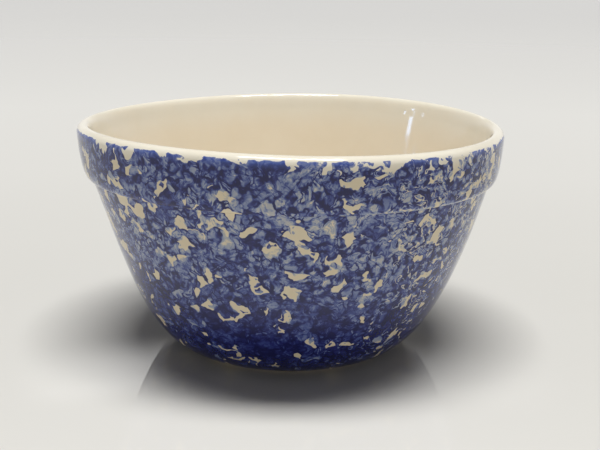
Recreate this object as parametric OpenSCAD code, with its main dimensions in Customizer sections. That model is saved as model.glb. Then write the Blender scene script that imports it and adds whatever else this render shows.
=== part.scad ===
// Prep bowl in fired stoneware: a flared round bowl with a plain collar under a thick round lip,
// a full heel and a low dry foot. The clay is one thrown piece. It carries three coats of glaze,
// each a thin skin that lies face to face on the clay.

/* [Bowl] */
// Outside diameter at the lip, the widest place
rim_d = 210; // [170:5:260]
// Height from the worktop to the top of the lip
bowl_h = 115; // [95:1:150]

/* [Lip and collar] */
// Thickness of the round lip
lip_t = 7; // [5:0.1:9]
// How far below the top of the lip its rounding ends on the inside
lip_run = 10; // [6:0.5:12]
// Height of the collar, from the neck under it to the top of the lip
collar_h = 25; // [16:0.5:34]
// How far the lip stands out past the neck under the collar
collar_out = 5.5; // [4:0.1:9]
// How far the small cove in the neck reaches up the wall and out under the collar
neck_cove = 1; // [0.5:0.1:1.5]
// How far up the outside of the lip the outside glaze climbs, in degrees from its widest line
seam_angle = 50; // [20:5:80]

/* [Wall] */
// Thickness of the side wall under the collar, with its glaze
wall_t = 7; // [4.5:0.1:9]
// Lean of the wall under the collar, in degrees from upright
wall_lean = 17; // [8:1:26]
// Thickness of the middle of the base, with its glaze
base_t = 7.5; // [5.5:0.1:11]
// Diameter of the flat floor inside
floor_d = 60; // [40:2:80]

/* [Foot] */
// Diameter of the foot, where the heel springs from it
foot_d = 104; // [90:2:120]
// Height of the bare foot below the outside glaze
foot_h = 1.6; // [1:0.1:4]
// Width of the ring that stands on the worktop
ring_w = 7; // [4:0.5:12]
// Depth of the recess inside the ring, up to its glaze
recess_h = 2.2; // [1:0.1:4]
// Radius of the rounded edges of the ring
ring_edge_r = 0.7; // [0.3:0.1:1.1]
// Radius of the cove between the ring and the recess
ring_cove_r = 1.5; // [0.5:0.1:1.9]
// Width of the dry clay between the cove and the glaze under the base
dry_w = 2; // [1:0.5:5]

/* [Glaze] */
// Thickness of each coat of glaze
glaze_t = 0.4; // [0.3:0.05:0.8]

/* [Hidden] */
$fn = 180;

// Colours as fired
clay_colour = [0.72, 0.62, 0.47];
cream_colour = [0.86, 0.79, 0.64];
blue_colour = [0.24, 0.29, 0.52];

// Steps along each curve of the profile
wall_steps = 28;
collar_steps = 16;
lip_steps = 16;
edge_steps = 5;

// How full each curve is, as shares of the width or height that it spans
heel_fullness_share = 0.5;
wall_fullness_share = 0.3;
brow_fullness_share = 0.16;
collar_fullness_share = 0.22;
inner_lip_fullness_share = 0.6;
inner_run_fullness_share = 0.5;
inside_fullness_share = 1.12;
floor_fullness_share = 0.48;
// Direction in which the collar leaves the neck, in degrees above level
brow_angle = -20;

// Places on the profile, as [radius, height]
rim_r = rim_d / 2;
foot_r = foot_d / 2;
floor_r = floor_d / 2;
lip_r = lip_t / 2;
floor_z = recess_h + base_t;
recess_top = recess_h + glaze_t;
ring_in_r = foot_r - ring_w;
// The cove is no taller than the part of the ring's inner wall above its rounded edge
ring_cove = min(ring_cove_r, recess_top - ring_edge_r);
recess_r = ring_in_r - ring_cove;
heel = [foot_r, foot_h];
neck = [rim_r - collar_out, bowl_h - collar_h];
lip_mid = [rim_r - lip_r, bowl_h - lip_r];
widest = [rim_r, lip_mid[1]];
neck_in = neck + wall_t * [-cos(wall_lean), sin(wall_lean)];
brow_way = [cos(brow_angle), sin(brow_angle)];
wall_end = neck - neck_cove * up_along(wall_lean);
brow = neck + neck_cove * brow_way;

// Behind the collar the inside runs straight on at the wall's own lean, up to the lip's rounding
lip_top = lip_mid + [0, lip_r];
throat_h = bowl_h - lip_run - neck_in[1];
throat_top = neck_in + throat_h / cos(wall_lean) * up_along(wall_lean);

function up_along(lean) = [sin(lean), cos(lean)];

function bezier(a, b, c, d, steps) = [
    for (i = [0 : steps])
        let (t = i / steps, s = 1 - t)
            s * s * s * a + 3 * s * s * t * b + 3 * s * t * t * c + t * t * t * d
];

function arc(mid, r, from, to, steps) = [
    for (i = [0 : steps])
        let (a = from + (to - from) * i / steps)
            mid + r * [cos(a), sin(a)]
];

function slice(list, first, last) = [for (i = [first : last]) list[i]];

function reversed(list) = [for (i = [len(list) - 1 : -1 : 0]) list[i]];

// The unit normal on the left of the way from a to b, which is the clay's side of the skin
function clay_side(a, b) = [a[1] - b[1], b[0] - a[0]] / norm(b - a);

// One point of the skin moved by t into the clay. The skin leaves the foot level and ends level
// on the floor, so its two end points move straight up and straight down.
function sunk_point(path, i, t) =
    i == 0 ? path[i] + [0, t] :
    i == len(path) - 1 ? path[i] - [0, t] :
    let (
        n = clay_side(path[i - 1], path[i]) + clay_side(path[i], path[i + 1])
    ) path[i] + n * 2 * t / (n * n);

function sunk(path, t) = [for (i = [0 : len(path) - 1]) sunk_point(path, i, t)];

// The outside of the wall, from the foot up to the cove under the collar
wall_curve = bezier(
    heel,
    heel + [heel_fullness_share * (wall_end[0] - heel[0]), 0],
    wall_end - wall_fullness_share * (wall_end[1] - heel[1]) * up_along(wall_lean),
    wall_end,
    wall_steps
);

// The small cove in the neck, where the wall meets the collar
cove_curve = bezier(wall_end, neck, neck, brow, edge_steps);

// The collar, from the cove out round its brow and up to the widest line of the lip
collar_curve = bezier(
    brow,
    brow + brow_fullness_share * (widest[1] - brow[1]) * brow_way,
    widest - [0, collar_fullness_share * (widest[1] - brow[1])],
    widest,
    collar_steps
);

// The lip, round to its top and then down its longer inner side, with a point at the seam
inner_lip_curve = bezier(
    lip_top,
    lip_top - [inner_lip_fullness_share * (lip_top[0] - throat_top[0]), 0],
    throat_top + inner_run_fullness_share * lip_run * up_along(wall_lean),
    throat_top,
    lip_steps
);
lip_curve = concat(
    arc(lip_mid, lip_r, 0, seam_angle, edge_steps),
    slice(arc(lip_mid, lip_r, seam_angle, 90, edge_steps), 1, edge_steps),
    slice(inner_lip_curve, 1, lip_steps)
);

// The inside of the wall, from the neck down to the edge of the flat floor
inside_curve = bezier(
    neck_in,
    neck_in - inside_fullness_share * (neck_in[1] - floor_z) * up_along(wall_lean),
    [floor_r + floor_fullness_share * (neck_in[0] - floor_r), floor_z],
    [floor_r, floor_z],
    wall_steps
);

// The finished surface of the bowl in one path, from the foot to the middle of the floor
skin = concat(
    wall_curve,
    slice(cove_curve, 1, edge_steps),
    slice(collar_curve, 1, collar_steps),
    slice(lip_curve, 1, len(lip_curve) - 1),
    slice(inside_curve, 0, wall_steps),
    [[0, floor_z]]
);
clay_skin = sunk(skin, glaze_t);
seam = wall_steps + edge_steps + collar_steps + edge_steps;

// The bare clay under the bowl, from the middle of the recess out to the foot
foot_curve = concat(
    [[0, recess_top]],
    arc([recess_r, recess_top - ring_cove], ring_cove, 90, 0, edge_steps),
    arc([ring_in_r + ring_edge_r, ring_edge_r], ring_edge_r, 180, 270, edge_steps),
    arc([foot_r - ring_edge_r, ring_edge_r], ring_edge_r, -90, 0, edge_steps)
);

// A coat of glaze over the skin from one of its points to another
module coat(first, last) {
    rotate_extrude()
        polygon(concat(slice(skin, first, last), reversed(slice(clay_skin, first, last))));
}

// The thrown and fired clay, with its recessed base and dry foot ring
module stoneware_body() {
    color(clay_colour)
        rotate_extrude()
            polygon(concat(foot_curve, clay_skin));
}

// The cream coat over the floor, the inside wall and the top of the lip
module inside_glaze() {
    color(cream_colour)
        coat(seam, len(skin) - 1);
}

// The clear coat over the sponged outside, from the foot up to the seam on the lip
module outside_glaze() {
    color(blue_colour)
        coat(0, seam);
}

// The coat in the recess under the base, kept back from the ring so that it fires dry
module base_glaze() {
    color(cream_colour)
        translate([0, 0, recess_h])
            cylinder(r = recess_r - dry_w, h = glaze_t);
}

stoneware_body();
inside_glaze();
outside_glaze();
base_glaze();
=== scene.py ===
import math

import bpy
from mathutils import Euler, Matrix, Vector


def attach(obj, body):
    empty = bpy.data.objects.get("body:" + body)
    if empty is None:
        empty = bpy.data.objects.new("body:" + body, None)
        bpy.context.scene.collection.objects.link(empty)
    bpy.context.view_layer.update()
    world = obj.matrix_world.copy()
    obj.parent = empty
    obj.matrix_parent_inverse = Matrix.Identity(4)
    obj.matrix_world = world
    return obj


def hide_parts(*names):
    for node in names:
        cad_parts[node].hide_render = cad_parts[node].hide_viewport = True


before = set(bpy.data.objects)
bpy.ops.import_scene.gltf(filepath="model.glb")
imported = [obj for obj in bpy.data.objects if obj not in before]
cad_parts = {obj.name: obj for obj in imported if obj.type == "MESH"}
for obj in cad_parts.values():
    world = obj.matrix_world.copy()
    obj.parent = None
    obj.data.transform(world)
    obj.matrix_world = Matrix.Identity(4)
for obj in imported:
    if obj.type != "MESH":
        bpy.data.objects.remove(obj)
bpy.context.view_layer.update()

MM = 0.001

# The bowl's driving sizes, as in the part's source, in metres and degrees
RIM_R = 105 * MM
BOWL_H = 115 * MM
LIP_R = 3.5 * MM
LIP_RUN = 10 * MM
COLLAR_H = 25 * MM
COLLAR_OUT = 5.5 * MM
NECK_COVE = 1 * MM
SEAM_ANGLE = 50
WALL_T = 7 * MM
WALL_LEAN = 17
BROW_ANGLE = -20
FLOOR_R = 30 * MM
FOOT_R = 52 * MM
FOOT_H = 1.6 * MM
RING_W = 7 * MM
RECESS_H = 2.2 * MM
BASE_T = 7.5 * MM
RING_EDGE_R = 0.7 * MM
RING_COVE_R = 1.5 * MM
DRY_W = 2 * MM
GLAZE_T = 0.4 * MM

# How full each curve is, as shares of what it spans
HEEL_SHARE = 0.5
WALL_SHARE = 0.3
BROW_SHARE = 0.16
COLLAR_SHARE = 0.22
INNER_LIP_SHARE = 0.6
INNER_RUN_SHARE = 0.5
INSIDE_SHARE = 1.12
FLOOR_SHARE = 0.48

# Steps along the curves and round the bowl
LONG_STEPS = 72
COLLAR_STEPS = 28
LIP_STEPS = 24
EDGE_STEPS = 8
ROUND_STEPS = 288
# A point of the profile nearer to the axis than this is on it
ON_AXIS = 0.001 * MM

# The fired rim is not quite level: it rises and falls twice round, most at the top. Between the
# foot and the rim, the wall stands a little to one side.
SADDLE = 1.04 * MM
SADDLE_AT = 61.6
SADDLE_POWER = 3
SWAY = 1.0 * MM
# Brings up**2 * (1 - up)**2 to 1 at its peak, half way up
SWAY_SCALE = 16


# The profile, as lists of (radius, height)
def up_along(lean):
    a = math.radians(lean)
    return Vector((math.sin(a), math.cos(a)))


def out_along(angle):
    a = math.radians(angle)
    return Vector((math.cos(a), math.sin(a)))


def bezier(a, b, c, d, steps):
    points = []
    for i in range(steps + 1):
        t = i / steps
        s = 1 - t
        points.append(a * s**3 + b * (3 * s * s * t) + c * (3 * s * t * t) + d * t**3)
    return points


def arc(mid, radius, start, end, steps):
    return [mid + out_along(start + (end - start) * i / steps) * radius for i in range(steps + 1)]


def sunk(path, depth):
    """The path moved into the clay, on its left, with its two ends moved straight up and down."""
    moved = []
    for i, point in enumerate(path):
        if i == 0:
            moved.append(point + Vector((0, depth)))
        elif i == len(path) - 1:
            moved.append(point - Vector((0, depth)))
        else:
            before = (point - path[i - 1]).normalized()
            after = (path[i + 1] - point).normalized()
            n = Vector((-before.y - after.y, before.x + after.x))
            moved.append(point + n * (2 * depth / n.length_squared))
    return moved


floor_z = RECESS_H + BASE_T
recess_top = RECESS_H + GLAZE_T
ring_in_r = FOOT_R - RING_W
ring_cove = min(RING_COVE_R, recess_top - RING_EDGE_R)
recess_r = ring_in_r - ring_cove
heel = Vector((FOOT_R, FOOT_H))
neck = Vector((RIM_R - COLLAR_OUT, BOWL_H - COLLAR_H))
lip_mid = Vector((RIM_R - LIP_R, BOWL_H - LIP_R))
widest = Vector((RIM_R, lip_mid.y))
lean = math.radians(WALL_LEAN)
wall_way = up_along(WALL_LEAN)
brow_way = out_along(BROW_ANGLE)
neck_in = neck + Vector((-math.cos(lean), math.sin(lean))) * WALL_T
wall_end = neck - wall_way * NECK_COVE
brow = neck + brow_way * NECK_COVE
lip_top = lip_mid + Vector((0, LIP_R))
throat_h = BOWL_H - LIP_RUN - neck_in.y
throat_top = neck_in + wall_way * (throat_h / math.cos(lean))

# From the foot up the wall, round the cove in the neck and over the collar, to the seam of the
# glazes on the lip
outside = bezier(
    heel,
    heel + Vector((HEEL_SHARE * (wall_end.x - heel.x), 0)),
    wall_end - wall_way * (WALL_SHARE * (wall_end.y - heel.y)),
    wall_end,
    LONG_STEPS,
)
outside += bezier(wall_end, neck, neck, brow, EDGE_STEPS)[1:]
outside += bezier(
    brow,
    brow + brow_way * (BROW_SHARE * (widest.y - brow.y)),
    widest - Vector((0, COLLAR_SHARE * (widest.y - brow.y))),
    widest,
    COLLAR_STEPS,
)[1:]
outside += arc(lip_mid, LIP_R, 0, SEAM_ANGLE, EDGE_STEPS)[1:]

# From the seam over the lip and down the inside, to the middle of the floor
inside = arc(lip_mid, LIP_R, SEAM_ANGLE, 90, EDGE_STEPS)[1:]
inside += bezier(
    lip_top,
    lip_top - Vector((INNER_LIP_SHARE * (lip_top.x - throat_top.x), 0)),
    throat_top + wall_way * (INNER_RUN_SHARE * LIP_RUN),
    throat_top,
    LIP_STEPS,
)[1:]
inside += bezier(
    neck_in,
    neck_in - wall_way * (INSIDE_SHARE * (neck_in.y - floor_z)),
    Vector((FLOOR_R + FLOOR_SHARE * (neck_in.x - FLOOR_R), floor_z)),
    Vector((FLOOR_R, floor_z)),
    LONG_STEPS,
)
inside.append(Vector((0, floor_z)))

skin = outside + inside
clay_skin = sunk(skin, GLAZE_T)
seam = len(outside) - 1

# Under the bowl, from the middle of the recess out to the foot
cove_mid = Vector((recess_r, recess_top - ring_cove))
inner_edge_mid = Vector((ring_in_r + RING_EDGE_R, RING_EDGE_R))
outer_edge_mid = Vector((FOOT_R - RING_EDGE_R, RING_EDGE_R))
foot_curve = [Vector((0, recess_top))]
foot_curve += arc(cove_mid, ring_cove, 90, 0, EDGE_STEPS)
foot_curve += arc(inner_edge_mid, RING_EDGE_R, 180, 270, EDGE_STEPS)
foot_curve += arc(outer_edge_mid, RING_EDGE_R, -90, 0, EDGE_STEPS)
base_r = recess_r - DRY_W
base_path = [
    Vector((0, RECESS_H)),
    Vector((base_r, RECESS_H)),
    Vector((base_r, recess_top)),
    Vector((0, recess_top)),
]


# The meshes
def new_object(name, data):
    made = bpy.data.objects.new(name, data)
    bpy.context.scene.collection.objects.link(made)
    return made


def settle(x, y, z):
    """Where the fired clay of the regular bowl comes to lie, never above the rim's full height."""
    turn = 2 * (math.atan2(y, x) - math.radians(SADDLE_AT))
    rise = SADDLE * (z / BOWL_H) ** SADDLE_POWER * (math.cos(turn) - 1)
    up = min(z / widest.y, 1)
    return x + SWAY * SWAY_SCALE * up**2 * (1 - up) ** 2, y, z + rise


def strip(low, high):
    """The faces between two rings of points, either of which may be a single point on the axis."""
    faces = []
    if len(low) == len(high) == 1:
        return faces
    for j in range(ROUND_STEPS):
        n = (j + 1) % ROUND_STEPS
        if len(low) == 1:
            faces.append((low[0], high[n], high[j]))
        elif len(high) == 1:
            faces.append((low[j], low[n], high[0]))
        else:
            faces.append((low[j], low[n], high[n], high[j]))
    return faces


def mark_sharp(mesh, rings, corners):
    """Marks the edges along those of the rings as sharp."""
    owner = {v: i for i, ring in enumerate(rings) for v in ring}
    flags = []
    for edge in mesh.edges:
        a, b = (owner[v] for v in edge.vertices)
        flags.append(a == b and a in corners)
    mark = mesh.attributes.new("sharp_edge", "BOOLEAN", "EDGE")
    mark.data.foreach_set("value", flags)


def lathe(name, path, corners):
    """A closed surface of revolution. The path runs with the piece's inside on its left, and
    corners are the places on the path where the surface has a sharp edge."""
    verts, rest, rings = [], [], []
    for point in path:
        ring = []
        for j in range(1 if point.x < ON_AXIS else ROUND_STEPS):
            a = 2 * math.pi * j / ROUND_STEPS
            place = (point.x * math.cos(a), point.x * math.sin(a), point.y)
            ring.append(len(verts))
            verts.append(settle(*place))
            rest.extend(place)
        rings.append(ring)
    pairs = list(zip(rings, rings[1:]))
    # A path that starts away from the axis comes back round to its start
    if path[0].x > 0:
        pairs.append((rings[-1], rings[0]))
    faces = [face for low, high in pairs for face in strip(low, high)]
    mesh = bpy.data.meshes.new(name)
    mesh.from_pydata(verts, [], faces)
    mesh.polygons.foreach_set("use_smooth", [True] * len(mesh.polygons))
    regular = mesh.attributes.new("rest_place", "FLOAT_VECTOR", "POINT")
    regular.data.foreach_set("vector", rest)
    mark_sharp(mesh, rings, corners)
    mesh.update()
    return new_object(name, mesh)


def coat(name, first, last):
    """A coat over the skin from one of its points to another, closed by the clay's side of it."""
    path = skin[first : last + 1] + clay_skin[first : last + 1][::-1]
    n = last - first
    return lathe(name, path, (0, n, n + 1, 2 * n + 1))


clay_body = lathe("clay_body", foot_curve + clay_skin, (0, len(foot_curve)))
inside_coat = coat("inside_coat", seam, len(skin) - 1)
outside_coat = coat("outside_coat", 0, seam)
base_coat = lathe("base_coat", base_path, (1, 2))


# Materials
class Nodes:
    """The node tree of a new material or world, and the few calls that it is built with."""

    def __init__(self, owner):
        self.owner = owner
        owner.use_nodes = True
        self.tree = owner.node_tree
        self.tree.nodes.clear()

    def put(self, kind, inputs=(), **settings):
        """A new node. An input is linked if it is given a socket, and otherwise set."""
        node = self.tree.nodes.new("ShaderNode" + kind)
        for key, value in settings.items():
            setattr(node, key, value)
        for key, value in dict(inputs).items():
            socket = node.inputs[key]
            if isinstance(value, bpy.types.NodeSocket):
                self.tree.links.new(value, socket)
            elif socket.type == "RGBA":
                socket.default_value = (*value, 1.0)
            else:
                socket.default_value = value
        return node

    def math(self, operation, *values):
        return self.put("Math", enumerate(values), operation=operation).outputs[0]

    def less(self, value, share):
        """The value with that share of it taken away."""
        return self.math("MULTIPLY", value, self.math("SUBTRACT", 1.0, share))

    def move(self, operation, *values):
        return self.put("VectorMath", enumerate(values), operation=operation).outputs[0]

    def scale(self, place, times):
        return self.put("VectorMath", {0: place, "Scale": times}, operation="SCALE").outputs[0]

    def axes(self, place):
        return self.put("SeparateXYZ", {0: place}).outputs

    def channels(self, colour):
        return self.put("SeparateColor", {0: colour}).outputs

    def step(self, value, low, high, to_low=0.0, to_high=1.0):
        """A smooth step of value from low to high."""
        inputs = {"Value": value, 1: low, 2: high, 3: to_low, 4: to_high}
        return self.put("MapRange", inputs, interpolation_type="SMOOTHSTEP").outputs[0]

    def noise(self, place, scale, detail, rough=0.5, twist=0.0, output=0):
        inputs = {
            "Vector": place,
            "Scale": scale,
            "Detail": detail,
            "Roughness": rough,
            "Distortion": twist,
        }
        return self.put("TexNoise", inputs).outputs[output]

    def patches(self, place, field, step):
        """Soft patches: a noise field put through a smooth step."""
        return self.step(self.noise(place, *field), *step)

    def cells(self, place, feature, output, **inputs):
        """A field of cells about one unit across."""
        inputs = {"Vector": place, "Scale": 1.0, **inputs}
        return self.put("TexVoronoi", inputs, feature=feature).outputs[output]

    def ramp(self, value, stops):
        """stops are (place, colour) pairs."""
        node = self.put("ValToRGB", {0: value})
        elements = node.color_ramp.elements
        while len(elements) < len(stops):
            elements.new(1.0)
        for element, (place, colour) in zip(elements, stops):
            element.position = place
            element.color = (*colour, 1.0)
        return node.outputs[0]

    def mix(self, share, first, second):
        """A colour from first, at share 0, to second."""
        return self.put("Mix", {0: share, 6: first, 7: second}, data_type="RGBA").outputs[2]

    def shade(self, inputs):
        """The material, with those inputs of its shader."""
        shader = self.put("BsdfPrincipled", inputs)
        self.put("OutputMaterial", {0: shader.outputs[0]})
        return self.owner

    def bumps(self, height, depth):
        return self.put("Bump", {"Height": height, "Distance": depth, "Strength": 1.0}).outputs[0]


# Places and sizes in the materials are in mm on the regular bowl, but for the heights of bumps, in
# metres. A noise field is given as its scale and detail, with its roughness where that isn't 0.5
# and its twist where it has one. A step is given as where it starts and ends, with the values
# before and after it where they aren't 0 and 1. Patches are a field and its step. Heights are up
# from the foot, and sides are along X.
NOISE_MEAN = (0.5, 0.5, 0.5)
LEVEL = (1.0, 1.0, 0.0)

# Creams, each as its pale and its warmer tone
OUTSIDE_CREAM = ((0.74, 0.64, 0.46), (0.71, 0.605, 0.42))
# The lip's cream is paler from thinner glaze and from painted light where the overhead lamp falls
# on it
LIP_CREAM_WITH_LIGHT = ((0.88, 0.83, 0.705), (0.86, 0.8, 0.665))
INSIDE_CREAM = ((0.88, 0.787, 0.625), (0.86, 0.76, 0.59))
# A darker cream, as painted shade over the floor of the bowl
FLOOR_SHADE_CREAM = (0.68, 0.585, 0.43)
CREAM_CLOUDS = ((0.035, 4.0, 0.6), (0.3, 0.7))
# By height, where the lip's paler cream, partly painted light, takes over outside and inside, and
# where the painted shade over the floor of the bowl starts inside
OUTSIDE_LIT_LIP = (105.0, 113.0)
INSIDE_LIT_LIP = (93.0, 111.0)
FLOOR_SHADE_UP = (75.0, 20.0)

# The glaze's gloss, and its slight unevenness
GLAZE_ROUGH = ((0.06, 3.0), (0.3, 0.7, 0.03, 0.07))
GLAZE_WAVES = (0.045, 2.0)
GLAZE_WAVE_H = 0.06 * MM

# The dry clay
CLAY_GRIT = (1.6, 4.0, 0.7)
CLAY_CLOUDS = (0.08, 3.0)
CLAY_GRIT_SHARE = 0.45
CLAY_GRIT_H = 0.12 * MM
CLAY_STEP = (0.3, 0.7)
CLAY_ROUGH = (0.3, 0.7, 0.7, 0.95)
CLAY_TONES = ((0.0, (0.36, 0.27, 0.17)), (0.5, (0.52, 0.41, 0.27)), (1.0, (0.62, 0.51, 0.36)))

# The blues from thin to thick paint, each with the cover that it stands for
BLUES = (
    (0.1, (0.4, 0.42, 0.46)),
    (0.32, (0.215, 0.26, 0.42)),
    (0.54, (0.055, 0.085, 0.28)),
    (0.72, (0.018, 0.024, 0.16)),
    (0.9, (0.006, 0.008, 0.075)),
)
OPACITY = 1.7
COVER_STEP = (0.02, 0.14)
# Near the top of the lip the blue is brighter: thinner paint, and painted light where the lip faces
# up to the overhead lamp
LIP_BLUE_WITH_LIGHT = (0.06, 0.11, 0.42)
LIP_BLUE_LIGHT_UP = (109.0, 112.5, 0.0, 0.55)

# Sponge prints: cell size, how far the print is shifted, the share of cells left open, the most
# paint in a closed cell, the width of the seams between cells and how much paint they carry
PRINTS = (
    (5.5, (-31.7, 44.6, 31.3), 0.2, 0.28, 0.75, 1.2),
    (4.6, (-7.7, 31.9, 17.3), 0.74, 0.28, 0.75, 1.2),
    (3.4, (41.3, -11.7, -23.1), 0.84, 0.2, 0.4, 0.7),
)
CELL_SOFT = 0.2
# How far inside the print a cell lies for each unit that its own number is past the share left
# open, as a share of its size
REACH_SHARE = 0.8
# The width over which the print's outlines fade
EDGE_W = 0.5
# How deep the prints merge into each other, and into the top of the print
MERGE_W = 1.0
TOP_MERGE_W = 1.5
# The part of a seam's width where it is darkest, how its width changes, and its paint
SEAM_CORE = 0.2
SEAM_WIDTH = ((0.16, 1.0), (0.35, 0.65, 0.6, 1.6))
PAINT_POOLS = ((0.3, 1.0), (0.35, 0.65, 0.2, 1.3))
# The print is bent broadly and finely, and then its outlines are made ragged: the scale of the
# field and the size of each. The field has this detail and roughness.
BENDS = ((0.07, 11.0), (0.22, 5.2))
RAGGED = (0.8, 0.45)
BEND_FIELD = (1.0, 0.55)
# What is added to the share of open cells, in patches and by height
OPEN_SHIFT = (50.0, 0.0, 0.0)
OPEN_PATCHES = ((0.03, 1.0), (0.35, 0.65, 0.02, -0.03))
OPEN_UP = ((76.0, 35.0, 0.0, -0.12), (28.0, 14.0, 0.0, 0.1), (84.0, 92.0, 0.0, -0.035))

# The top of the print, how ragged it is, and the gaps between dabs there, taller than wide
PRINT_TOP = 113.4
TOP_RAGGED = (0.25, 1.2)
TOP_FADE = (0.3, 2.2, 0.3, 1.0)
GAP_SQUASH = (1.0, 1.0, 0.4)
GAPS = ((0.12, 2.0), (0.57, 0.7, 0.0, 6.0))
# The paint that pools along the outline of each opening, and the margins where it is thin instead
OUTLINE_STEP = (1.0, EDGE_W)
OUTLINE_PAINT = 0.3
THIN_PATCHES = ((0.19, 1.0), (0.42, 0.56, 0.0, 0.6))
THIN_MARGIN = (2.4, 0.6)
# Fine streaks that follow the outlines of the cells: how far apart they are, and how they wander
STREAK_FIELD = (0.5, 2.0, 0.5, 1.0)
STREAK_APART = 1.5
STREAK_WANDER = 9.0
STREAK_STEP = (-0.2, 0.9)
STREAK_PAINT = (0.35, 0.65, 0.04, 0.26)
# How much paint the sponge held, and the painted shade low on the wall: more paint towards the foot
LOAD_SHIFT = (0.0, 0.0, 71.0)
LOAD_PATCHES = ((0.045, 2.0, 0.6), (0.35, 0.65, -0.1, 0.06))
LOW_PAINTED_SHADE = (68.0, 8.0, 0.0, 0.52)
LEAST_PAINT = 0.07
# Sides are told apart along X, bent so that no straight line shows
SIDE_BENDS = (0.04, 40.0)
# The fuller dabs on the lip and collar towards -X
FULL_UP = (88.0, 102.0)
FULL_SIDE = (-30.0, -70.0, 0.0, 0.16)
# Thin wiggly lines that the sponge left paler, broken here and there, and more of them towards +X
LINE_FIELD = (0.11, 2.0, 0.6)
LINE_TURNS = 60.0
LINE_STEP = (0.45, 0.92)
LINE_PATCHES = ((0.22, 1.0), (0.45, 0.58))
LINE_SIDE = (5.0, 52.0, 0.3, 0.95)
# The lower edge of the collar, as far out and up from the neck, and how wide and high the painted
# highlight along it is, most of all towards +X
COLLAR_EDGE_OUT = 1.8
COLLAR_EDGE_UP = 0.2
COLLAR_HIGHLIGHT_W = 1.0
COLLAR_HIGHLIGHT_H = 1.2
COLLAR_HIGHLIGHT_SIDE = (0.0, 75.0, 0.05, 0.9)


def rest_place(n):
    """The place on the regular bowl, in mm."""
    place = n.put("Attribute", attribute_name="rest_place").outputs["Vector"]
    return n.scale(place, 1 / MM)


def clouded(n, place, pale, warm):
    """A cream with its slight cloudiness, as a colour."""
    return n.mix(n.patches(place, *CREAM_CLOUDS), warm, pale)


def glazed(n, place, colour):
    """The material for that colour under gloss glaze."""
    rough = n.patches(place, *GLAZE_ROUGH)
    bumps = n.bumps(n.noise(place, *GLAZE_WAVES), GLAZE_WAVE_H)
    return n.shade({"Base Color": colour, "Roughness": rough, "Normal": bumps})


def warp(n, place, base, scale, amount):
    """base moved by a noise field read at place, by up to about half of amount each way."""
    field = n.noise(place, scale, *BEND_FIELD, output="Color")
    field = n.move("SUBTRACT", field, NOISE_MEAN)
    return n.move("MULTIPLY_ADD", field, (amount, amount, amount), base)


def sponge_print(n, place, opened, seam_width, pools, settings):
    """One print: its paint, how far inside it and how far from the edge of its cell a place is."""
    size, shift, share, most, width, carried = settings
    where = n.scale(n.move("ADD", place, shift), 1 / size)
    edge = n.math("MULTIPLY", n.cells(where, "DISTANCE_TO_EDGE", "Distance"), size)
    r, g, b = n.channels(n.cells(where, "SMOOTH_F1", "Color", Smoothness=CELL_SOFT))
    reach = n.math("SUBTRACT", r, n.math("ADD", opened, share))
    reach = n.math("MULTIPLY", reach, size * REACH_SHARE)
    paint = n.math("MULTIPLY", n.step(reach, 0.0, EDGE_W), n.math("MULTIPLY", g, most))
    width = n.math("MULTIPLY", seam_width, width)
    dark = n.step(edge, width, n.math("MULTIPLY", width, SEAM_CORE))
    dark = n.math("MULTIPLY", dark, pools)
    return n.math("MULTIPLY_ADD", dark, n.math("MULTIPLY", b, carried), paint), reach, edge


def below_top(n, place, bent):
    """How far a place is below the top of the print, which is in dabs with gaps between them."""
    top = n.axes(warp(n, place, place, *TOP_RAGGED))[2]
    gap = n.patches(n.move("MULTIPLY", bent, GAP_SQUASH), *GAPS)
    return n.math("SUBTRACT", n.math("SUBTRACT", PRINT_TOP, gap), top)


def collar_highlight(n, place, up, side):
    """The painted highlight along the lower edge of the collar."""
    edge_r = neck.x / MM + COLLAR_EDGE_OUT
    edge_z = neck.y / MM + COLLAR_EDGE_UP
    level = n.move("MULTIPLY", place, LEVEL)
    out = n.put("VectorMath", {0: level}, operation="LENGTH").outputs["Value"]
    line = n.step(out, edge_r - COLLAR_HIGHLIGHT_W, edge_r)
    line = n.math("MULTIPLY", line, n.step(up, edge_z + COLLAR_HIGHLIGHT_H, edge_z))
    return n.math("MULTIPLY", line, n.step(side, *COLLAR_HIGHLIGHT_SIDE))


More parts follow.
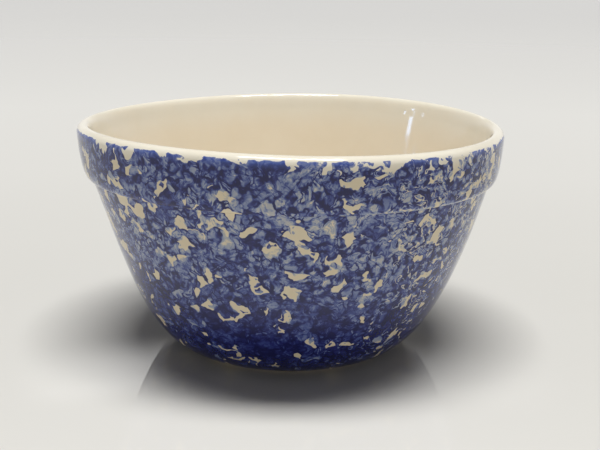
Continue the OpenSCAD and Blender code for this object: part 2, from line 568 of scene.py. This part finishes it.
def sponged(name):
    n = Nodes(bpy.data.materials.new(name))
    place = rest_place(n)
    up = n.axes(place)[2]
    side = n.axes(warp(n, place, place, *SIDE_BENDS))[0]
    bent = place
    for scale, amount in BENDS:
        bent = warp(n, place, bent, scale, amount)
    ragged = warp(n, place, bent, *RAGGED)

    opened = n.patches(n.move("ADD", place, OPEN_SHIFT), *OPEN_PATCHES)
    for step in OPEN_UP:
        opened = n.math("ADD", opened, n.step(up, *step))
    seam_width = n.patches(place, *SEAM_WIDTH)
    pools = n.patches(place, *PAINT_POOLS)
    prints = [sponge_print(n, ragged, opened, seam_width, pools, row) for row in PRINTS]
    paint, inked, edge = prints[0]
    for more, reach, _ in prints[1:]:
        paint = n.math("ADD", paint, more)
        inked = n.math("SMOOTH_MAX", inked, reach, MERGE_W)
    below = below_top(n, place, bent)
    inked = n.math("SMOOTH_MIN", inked, below, TOP_MERGE_W)

    # Along the outlines the paint is pooled or thin
    outline = n.math("MULTIPLY", n.step(inked, *OUTLINE_STEP), pools)
    paint = n.math("MULTIPLY_ADD", outline, OUTLINE_PAINT, paint)
    thin = n.math("MULTIPLY", n.patches(place, *THIN_PATCHES), n.step(inked, *THIN_MARGIN))
    paint = n.less(paint, thin)

    # Streaks, the sponge's load, the painted shade on the low wall and the fuller dabs add to the
    # paint
    streak = n.noise(ragged, *STREAK_FIELD)
    turns = n.math("MULTIPLY", edge, 2 * math.pi / STREAK_APART)
    hair = n.math("SINE", n.math("MULTIPLY_ADD", streak, STREAK_WANDER, turns))
    added = n.math("MULTIPLY", n.step(hair, *STREAK_STEP), n.step(streak, *STREAK_PAINT))
    added = n.math("ADD", added, n.patches(n.move("ADD", place, LOAD_SHIFT), *LOAD_PATCHES))
    added = n.math("ADD", added, n.step(up, *LOW_PAINTED_SHADE))
    full = n.math("MULTIPLY", n.step(up, *FULL_UP), n.step(side, *FULL_SIDE))
    added = n.math("ADD", added, full)
    paint = n.math("MAXIMUM", n.math("ADD", added, paint), LEAST_PAINT)

    # The paler lines, the thinner top and the painted highlight on the collar's edge take from it
    line = n.math("SINE", n.math("MULTIPLY", n.noise(bent, *LINE_FIELD), LINE_TURNS))
    line = n.math("MULTIPLY", n.step(line, *LINE_STEP), n.patches(ragged, *LINE_PATCHES))
    paint = n.less(paint, n.math("MULTIPLY", line, n.step(side, *LINE_SIDE)))
    paint = n.math("MULTIPLY", paint, n.step(below, *TOP_FADE))
    paint = n.less(paint, collar_highlight(n, place, up, side))
    paint = n.math("MULTIPLY", paint, n.step(inked, 0.0, EDGE_W))

    cover = n.math("SUBTRACT", 1.0, n.math("EXPONENT", n.math("MULTIPLY", paint, -OPACITY)))
    # Painted light: the blue is brighter near the top of the lip
    blue = n.mix(n.step(up, *LIP_BLUE_LIGHT_UP), n.ramp(cover, BLUES), LIP_BLUE_WITH_LIGHT)
    # The lip's paler cream is partly painted light from the overhead lamp
    body, lip = clouded(n, place, *OUTSIDE_CREAM), clouded(n, place, *LIP_CREAM_WITH_LIGHT)
    ground = n.mix(n.step(up, *OUTSIDE_LIT_LIP), body, lip)
    return glazed(n, place, n.mix(n.step(cover, *COVER_STEP), ground, blue))


def cream(name):
    n = Nodes(bpy.data.materials.new(name))
    place = rest_place(n)
    up = n.axes(place)[2]
    # The lip's paler cream is partly painted light from the overhead lamp
    body, lip = clouded(n, place, *INSIDE_CREAM), clouded(n, place, *LIP_CREAM_WITH_LIGHT)
    # Painted shade: the cream is darker over the floor of the bowl, where the overhead lamp falls
    # full
    body = n.mix(n.step(up, *FLOOR_SHADE_UP), body, FLOOR_SHADE_CREAM)
    return glazed(n, place, n.mix(n.step(up, *INSIDE_LIT_LIP), body, lip))


def bare_clay(name):
    n = Nodes(bpy.data.materials.new(name))
    place = rest_place(n)
    grit = n.noise(place, *CLAY_GRIT)
    cloud = n.math("MULTIPLY", n.noise(place, *CLAY_CLOUDS), 1 - CLAY_GRIT_SHARE)
    tone = n.math("MULTIPLY_ADD", grit, CLAY_GRIT_SHARE, cloud)
    colour = n.ramp(n.step(tone, *CLAY_STEP), CLAY_TONES)
    rough = n.step(grit, *CLAY_ROUGH)
    bumps = n.bumps(grit, CLAY_GRIT_H)
    return n.shade({"Base Color": colour, "Roughness": rough, "Normal": bumps})


sponged_glaze = sponged("sponged_glaze")
cream_glaze = cream("cream_glaze")
clay = bare_clay("bare_stoneware")

for piece, node, finish, slot in (
    (clay_body, "stoneware_body", clay, "bare_stoneware"),
    (inside_coat, "inside_glaze", cream_glaze, "cream_glaze"),
    (outside_coat, "outside_glaze", sponged_glaze, "sponged_glaze"),
    (base_coat, "base_glaze", cream_glaze, "cream_glaze"),
):
    piece.data.materials.append(finish)
    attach(piece, "root")
    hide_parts(node)

# The floor: a plain pale top, polished at a slant, that mirrors next to nothing from straight above
FLOOR_HALF = 14.0
FLOOR_COLOUR = (0.74, 0.725, 0.68)
FLOOR_ROUGH = 0.04
FLOOR_POLISH = (0.1, 0.45, 0.0, 0.5)
floor_mesh = bpy.data.meshes.new("worktop")
corners = [(x * FLOOR_HALF, y * FLOOR_HALF, 0) for x, y in ((-1, -1), (1, -1), (1, 1), (-1, 1))]
floor_mesh.from_pydata(corners, [], [(0, 1, 2, 3)])
worktop = new_object("worktop", floor_mesh)
top = Nodes(bpy.data.materials.new("pale_top"))
polish = top.step(top.put("LayerWeight").outputs["Facing"], *FLOOR_POLISH)
finish = {"Base Color": FLOOR_COLOUR, "Roughness": FLOOR_ROUGH, "Specular IOR Level": polish}
floor_mesh.materials.append(top.shade(finish))

# The camera, as the photograph's: just above the rim, close, with a slight roll. Its place is in
# metres, its turns are in degrees, and its lens and sensor in mm.
CAMERA_AT = (0.00523, -0.4682, 0.1838)
CAMERA_DOWN = 14.92
CAMERA_ROLL = 0.884
CAMERA_LENS = 56.28
CAMERA_SENSOR = 36
CAMERA_NEAR = 0.01
camera_data = bpy.data.cameras.new("camera")
camera_data.sensor_width = CAMERA_SENSOR
camera_data.lens = CAMERA_LENS
camera_data.clip_start = CAMERA_NEAR
camera = new_object("camera", camera_data)
turn = Euler((math.radians(90 - CAMERA_DOWN), 0, 0)).to_matrix()
turn = turn @ Matrix.Rotation(math.radians(CAMERA_ROLL), 3, "Z")
camera.matrix_world = Matrix.Translation(CAMERA_AT) @ turn.to_4x4()
bpy.context.scene.camera = camera

# Light: a large soft box overhead and a pale room. The glints on the glaze come from a small bright
# window with a dimmer pane under it, a small light on each side of it, and one across the room.
# Each lamp is given by its azimuth, elevation, width, height and power, in degrees, metres and W.
OVERHEAD = (180, 84.5, 3.6, 1.4, 413)
OVERHEAD_AWAY = 6
OVERHEAD_AIM = (0.14, 0, 0.08)
GLINTS = (
    ("glint_window", -93.5, 18.6, 0.06, 0.04, 0.09),
    ("glint_blind", -92.5, 16.7, 0.022, 0.05, 0.014),
    ("glint_left", -99.5, 16.6, 0.03, 0.03, 0.026),
    ("glint_right", -85.5, 14.2, 0.03, 0.03, 0.03),
    ("glint_across", 73, 11.8, 0.03, 0.05, 0.012),
)
GLINT_AWAY = 1.3
GLINT_AIM = (0, 0, 0.08)
GLINT_COLOUR = (0.42, 0.63, 1.0)


def soft_box(name, azimuth, elevation, width, height, power, distance, aim):
    """An area lamp seen from aim at that azimuth, clockwise from +Y, and elevation."""
    data = bpy.data.lights.new(name, "AREA")
    data.shape = "RECTANGLE"
    data.size = width
    data.size_y = height
    data.energy = power
    lamp = new_object(name, data)
    a, e = math.radians(azimuth), math.radians(elevation)
    way = Vector((math.sin(a) * math.cos(e), math.cos(a) * math.cos(e), math.sin(e)))
    lamp.location = Vector(aim) + way * distance
    lamp.rotation_euler = way.to_track_quat("Z", "Y").to_euler()
    return lamp


soft_box("overhead", *OVERHEAD, OVERHEAD_AWAY, OVERHEAD_AIM)
# The small lights fall on the bowl alone, so that the floor doesn't mirror them
glossed = bpy.data.collections.new("glossed")
for piece in (inside_coat, outside_coat, base_coat, clay_body):
    glossed.objects.link(piece)
for settings in GLINTS:
    glint = soft_box(*settings, GLINT_AWAY, GLINT_AIM)
    glint.data.color = GLINT_COLOUR
    glint.light_linking.receiver_collection = glossed

# The room fades with height. Behind the bowl it has a bright band above the horizon, which the
# polished top shows. The steps at the band's edges are each along X, Y or Z, as 0, 1 or 2, of the
# way to that part of the room.
ROOM_COLOUR = (1.0, 0.99, 0.97)
ROOM_FADE = (0.12, 0.42, 0.75, 0.05)
BAND_LIGHT = 1.7
BAND_STEPS = (
    (2, 0.365, 0.395),
    (2, 0.43, 0.41),
    (0, -0.3, -0.14),
    (0, 0.28, -0.05),
    (1, 0.5, 0.7),
)
world = bpy.data.worlds.new("pale_room")
bpy.context.scene.world = world
sky = Nodes(world)
way = sky.axes(sky.put("TexCoord").outputs["Generated"])
band = BAND_LIGHT
for axis, low, high in BAND_STEPS:
    band = sky.math("MULTIPLY", band, sky.step(way[axis], low, high))
strength = sky.math("ADD", sky.step(way[2], *ROOM_FADE), band)
room = sky.put("Background", {"Color": ROOM_COLOUR, "Strength": strength})
sky.put("OutputWorld", {"Surface": room.outputs[0]})

bpy.context.scene.view_settings.view_transform = "Standard"

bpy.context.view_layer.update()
